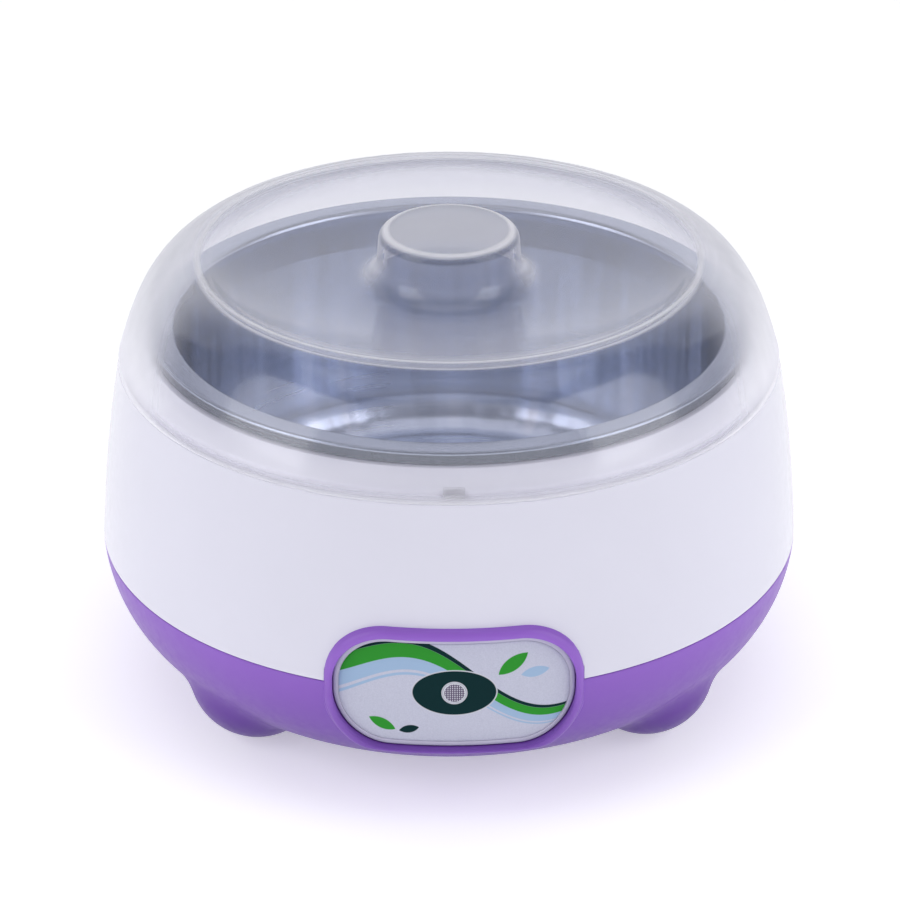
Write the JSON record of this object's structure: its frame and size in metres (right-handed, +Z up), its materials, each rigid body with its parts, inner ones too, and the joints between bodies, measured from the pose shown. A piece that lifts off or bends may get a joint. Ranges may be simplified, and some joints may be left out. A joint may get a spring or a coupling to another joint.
{
  "type": "yogurt maker",
  "caption": "Round table-top yogurt maker: steel pot in a warmed white casing on a purple base with ball feet, oval indicator panel and a clear lift-off cover with a hollow knob.",
  "frame": {"origin": "on the table under the middle of the base", "axes": "+Z up along the pot's axis, -Y towards the indicator panel at the front, +X to the right seen from the front"},
  "size_m": [0.18, 0.1812, 0.12],
  "materials": {
    "clear_cover": "clear, slightly milky polypropylene, polished",
    "pot_steel": "satin stainless, circular brushing inside",
    "white_shell": "gloss white moulding",
    "liner_white": "satin white moulding",
    "screw_steel": "zinc plated",
    "purple_base": "satin purple moulding",
    "pad_rubber": "grey rubber",
    "panel_white": "satin white moulding",
    "label_print": "printed silver-white film",
    "lens_clear": "clear lens with a printed mesh",
    "led_green": "tinted epoxy",
    "board_fr4": "green circuit board",
    "resistor_body": "lacquered resistor",
    "plate_aluminium": "machined aluminium",
    "seal_silicone": "white silicone",
    "ptc_ceramic": "dark ceramic",
    "electrode_brass": "brass sheet",
    "mica_insulator": "mica sheet",
    "spring_steel": "spring steel strip",
    "thermostat_body": "phenolic body",
    "fuse_metal": "tinned case",
    "sleeve_glassfibre": "woven glass-fibre sleeve",
    "inlet_black": "black moulding",
    "pin_brass": "nickel plated brass",
    "wire_brown": "brown insulation",
    "wire_blue": "blue insulation",
    "wire_white": "white insulation",
    "wire_thin": "red insulation",
    "cap_nylon": "nylon cap"
  },
  "bodies": {
    "base": {"upper_shell": "white_shell", "heating_well": "liner_white", "well_screws": "screw_steel", "base_shell": "purple_base", "base_screws": "screw_steel", "foot_pads": "pad_rubber", "panel_plate": "panel_white", "panel_label": "label_print", "indicator_lens": "lens_clear", "indicator_led": "led_green", "indicator_board": "board_fr4", "led_resistor": "resistor_body", "heat_plate": "plate_aluminium", "heat_plate_seal": "seal_silicone", "ptc_heater": "ptc_ceramic", "electrodes": "electrode_brass", "mica_sheets": "mica_insulator", "heater_clamp": "spring_steel", "clamp_screws": "screw_steel", "thermostat": "thermostat_body", "thermostat_bracket": "spring_steel", "bracket_screws": "screw_steel", "thermal_fuse": "fuse_metal", "fuse_sleeve": "sleeve_glassfibre", "inlet_socket": "inlet_black", "inlet_pins": "pin_brass", "live_wire": "wire_brown", "neutral_wire": "wire_blue", "heater_wire": "wire_white", "fuse_wire": "wire_white", "led_wires": "wire_thin", "crimp_caps": "cap_nylon"},
    "pot": {"inner_pot": "pot_steel"},
    "cover": {"outer_cover": "clear_cover"}
  },
  "joints": [
    {"name": "pot_lift", "type": "slide", "parent": "base", "child": "pot", "axis": [0, 0, 1], "range_m": [0, 0.075]},
    {"name": "cover_lift", "type": "slide", "parent": "pot", "child": "cover", "axis": [0, 0, 1], "range_m": [0, 0.06]}
  ]
}
